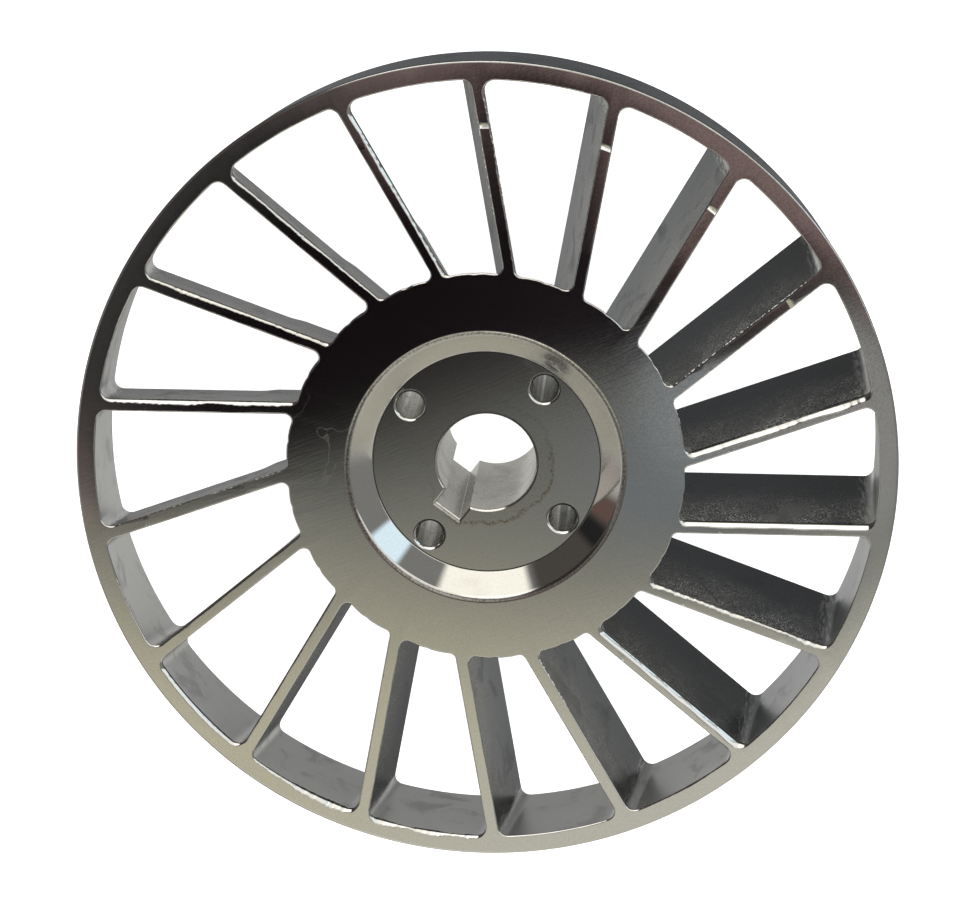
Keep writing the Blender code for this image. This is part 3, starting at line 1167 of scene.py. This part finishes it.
# the studio seen in the metal: soft cards round the wheel, painted one over the other on a dim room,
# each given as name, direction, full within (degrees), gone beyond (degrees), tone
cards = [
    ("sideFloor", towards(-60, -12), 26, 38, (0.50, 0.50, 0.48)),
    ("backFloor", towards(88, -45), 36, 46, (0.105, 0.105, 0.105)),
    ("nadirPaper", towards(0, -90), 16, 28, (0.60, 0.60, 0.59)),
    ("leftFloor", towards(-172, -65), 6, 14, (0.85, 0.85, 0.83)),
    ("frontFloor", towards(-23, -59), 8, 18, (0.60, 0.60, 0.58)),
    ("blackSkirt", towards(90, -22), 12, 20, (0.01, 0.01, 0.01)),
    ("backDark", towards(152, 14), 26, 33, (0.075, 0.068, 0.062)),
    ("redCorner", towards(176, 3), 3, 9, (0.14, 0.085, 0.075)),
    ("blackCorner", towards(163, 8), 3, 9, (0.018, 0.018, 0.018)),
    ("backCorner", towards(148, 44), 16, 24, (0.035, 0.032, 0.030)),
    ("upWindow", towards(52, 40), 16, 19, (1.05, 1.05, 1.00)),
    ("edgeWindow", towards(22, 40), 14, 18, (1.00, 1.02, 1.00)),
    ("backWindow", towards(93, 26), 23, 28, (1.22, 1.19, 1.06)),
    ("highWindow", towards(100, 35), 16, 17.5, (1.60, 1.58, 1.52)),
    ("sideWindow", towards(30, 17), 8, 12, (0.88, 1.08, 1.20)),
    ("ceiling", towards(0, 90), 16, 26, (0.222, 0.159, 0.151)),
    ("skyLight", towards(60, 76), 9, 20.5, (0.73, 0.72, 0.66)),
    ("hubShade", mirroredAt(0.73, 0.25), 1.11, 2.64, (0.021, 0.014, 0.017)),
    ("brownGlow", mirroredAt(-0.07, 0.61), 0.31, 2.27, (1.577, 0.975, 1.008)),
    ("topShade", mirroredAt(0.09, 0.72), 0.86, 3.02, (0.019, 0.013, 0.014)),
    ("leftShade", mirroredAt(-0.86, 0.60), 2.15, 5.92, (0.040, 0.038, 0.037)),
    ("cameraShade", mirroredAt(-0.05, -0.08), 3.92, 5.85, (0.010, 0.007, 0.009)),
    ("lowerWash", mirroredAt(1.98, -7.72), 33.85, 35.09, (0.165, 0.170, 0.157)),
    ("coolPatch", mirroredAt(0.40, -0.04), 0.5, 1.5, (0.172, 0.186, 0.196)),
    ("washEdge", mirroredAt(0.54, 0.18), 0.59, 1.48, (0.262, 0.280, 0.290)),
    ("lowerGlow", mirroredAt(-0.69, -4.43), 17.18, 21.72, (0.549, 0.521, 0.392)),
    ("lowerRight", mirroredAt(1.51, -3.46), 13.38, 17.67, (0.572, 0.564, 0.493)),
    ("rightPatch", mirroredAt(0.93, 0.12), 0.89, 2.36, (0.285, 0.286, 0.276)),
    ("bladeShade", mirroredAt(0.60, 0.68), 0.21, 0.29, (0.065, 0.044, 0.039)),
    ("hubEndShade", mirroredAt(0.51, 0.58), 0.27, 0.53, (0.012, 0.007, 0.009)),
    ("leftBlack", mirroredAt(-0.36, 0.41), 0.84, 3.60, (0.005, 0.003, 0.004)),
    ("rampWindow", towards(-106, 61.4), 4.2, 6, (1.45, 1.43, 1.40)),
    ("warmWall", towards(-150, 0), 22, 30, (0.46, 0.45, 0.40)),
    ("frontWall", towards(-72, 5), 34, 42, (0.56, 0.545, 0.48)),
    ("darkDoor", towards(-115, 14), 1, 7, (0.14, 0.13, 0.11)),
]


def makeStudio():
    world = bpy.data.worlds.new("studioRoom")
    bpy.context.scene.world = world
    world.use_nodes = True
    tree = world.node_tree
    tree.nodes.clear()
    direction = tree.nodes.new("ShaderNodeTexCoord").outputs["Generated"]
    tone = room["dim"]
    for name, toward, full, gone, colour in cards:
        tone = useGroup("card", Under=tone, Direction=direction, Toward=toward.normalized(),
                        Full=full, Gone=gone, Tone=colour)["Color"]
        tone.node.label = name
    path = tree.nodes.new("ShaderNodeLightPath").outputs
    plain = mixColour(path["Is Camera Ray"], room["wash"], room["paper"])
    light = addNode("ShaderNodeBackground", {"Color": mixColour(path["Is Glossy Ray"], plain, tone)})
    addNode("ShaderNodeOutputWorld", {"Surface": light["Background"]})
    bpy.context.scene.view_settings.view_transform = "Standard"


studioFloor = {
    "half": 6.0,
    "drop": 0.2 * mm,
    "tone": (0.92, 0.92, 0.92),
    "roughness": 0.9,
    "lift": 0.86,  # light of its own, so that it stays as pale as the photograph's ground
}


def makeFloor():
    f = studioFloor
    deselectAll()
    bpy.ops.mesh.primitive_plane_add(size=2 * f["half"], location=(0, 0, -f["drop"]))
    floor = bpy.context.object
    floor.name = "studioFloor"
    mat = bpy.data.materials.new("palePaper")
    mat.use_nodes = True
    shader = mat.node_tree.nodes["Principled BSDF"]
    for label, value in (("Base Color", f["tone"]), ("Roughness", f["roughness"]),
                         ("Emission Color", (1, 1, 1)), ("Emission Strength", f["lift"])):
        feed(shader.inputs[label], value)
    floor.data.materials.append(mat)
    floor.visible_glossy = False


makeCamera()
wheel = makeWheel()
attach(wheel, "root")
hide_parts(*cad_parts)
makeStudio()
makeFloor()
print("studio ready")
